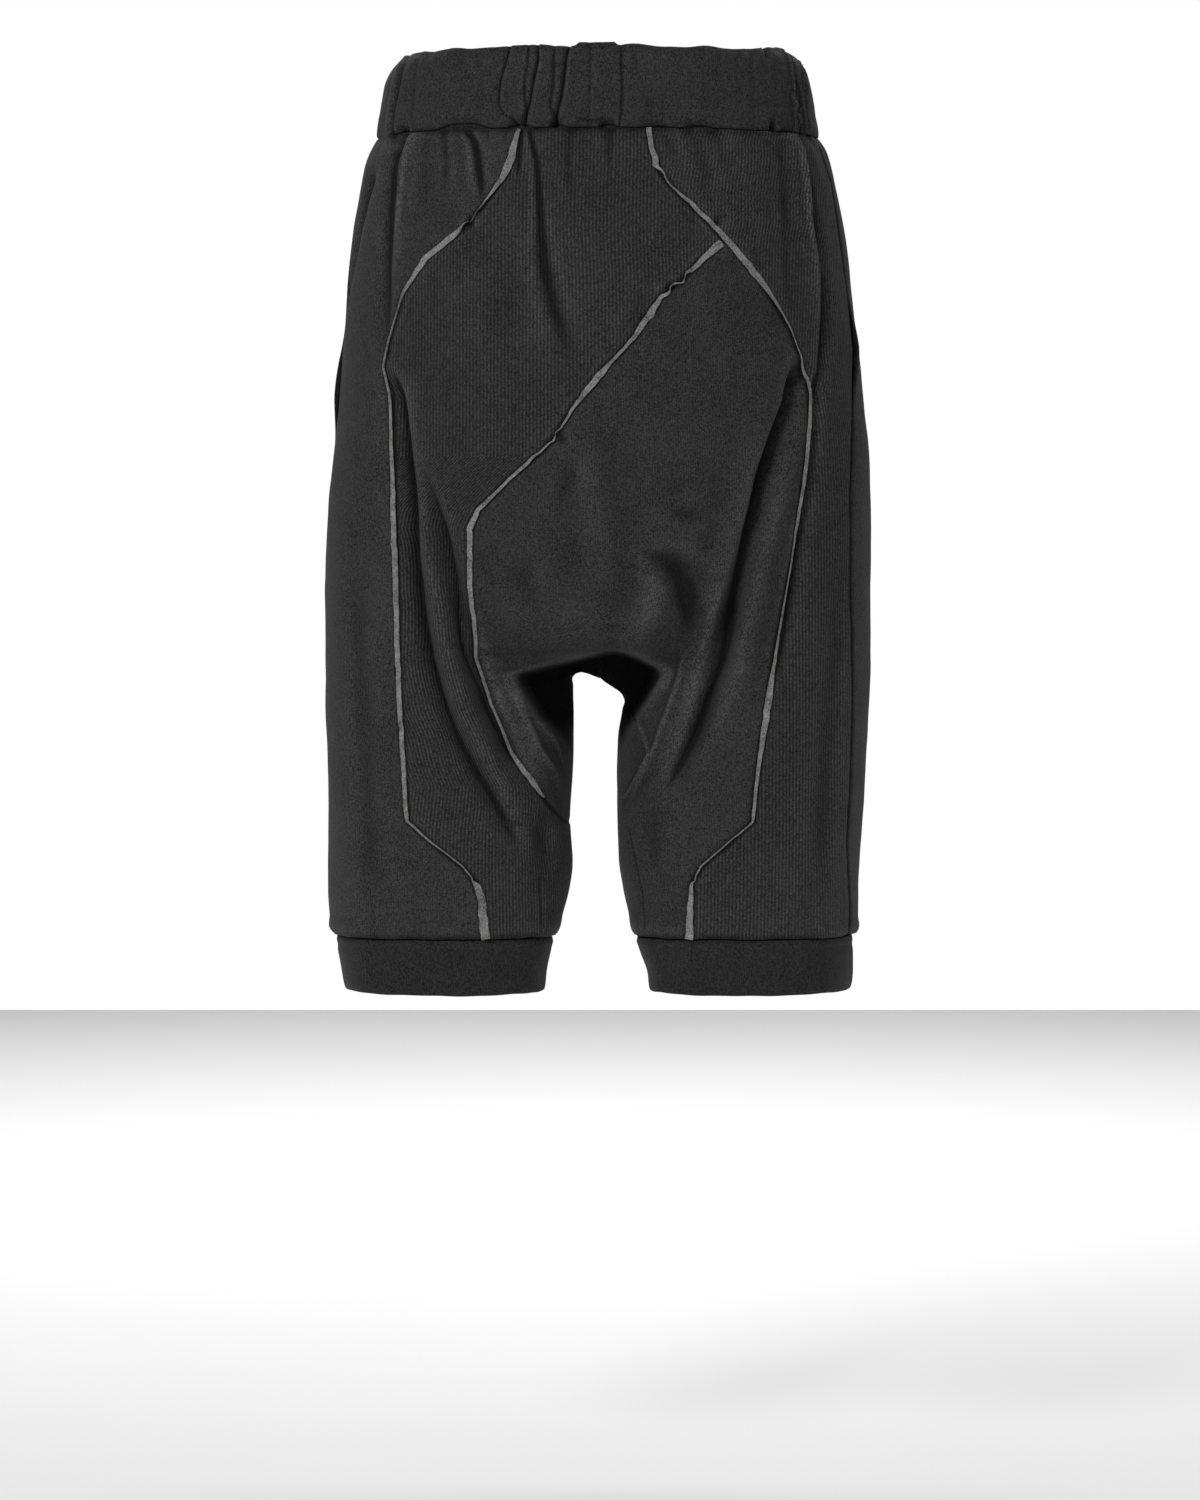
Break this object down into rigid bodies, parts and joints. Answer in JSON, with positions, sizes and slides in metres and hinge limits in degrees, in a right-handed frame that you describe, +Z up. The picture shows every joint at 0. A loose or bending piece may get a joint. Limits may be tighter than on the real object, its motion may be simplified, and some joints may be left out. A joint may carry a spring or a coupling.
{
  "type": "drop-crotch shorts",
  "caption": "Knee-length knitted shorts with a low slung crotch, an elasticated waistband, cuffed legs, side pockets and raw-edged seams curving over the back, standing open as worn",
  "frame": {"origin": "middle of the waist opening at half the height of the waistband, where the wearer's waist carries the shorts", "axes": "+Z up the wearer, +Y to the wearer's back (the side in the picture), +X to the wearer's left"},
  "size_m": [0.4189, 0.275, 0.7085],
  "materials": {
    "waistband": "plain jersey folded over elastic, matte",
    "rib_knit": "fine vertical rib knit, matte",
    "plain_jersey": "plain sweatshirt jersey, matte",
    "cuff_jersey": "plain jersey folded double, matte",
    "raw_edge": "cut knit edge, mottled light grey, matte",
    "pocket_cloth": "plain thin jersey, matte"
  },
  "bodies": {
    "root": {"waistband": "waistband", "back_centre_rib": "rib_knit", "back_side_right": "rib_knit", "back_side_left": "plain_jersey", "back_seat": "plain_jersey", "front_left": "plain_jersey", "front_right": "plain_jersey", "cuff_left": "cuff_jersey", "cuff_right": "cuff_jersey", "seam_edge_left": "raw_edge", "seam_edge_right": "raw_edge", "seam_edge_cross": "raw_edge", "pocket_bag_left": "pocket_cloth", "pocket_bag_right": "pocket_cloth"}
  },
  "joints": []
}
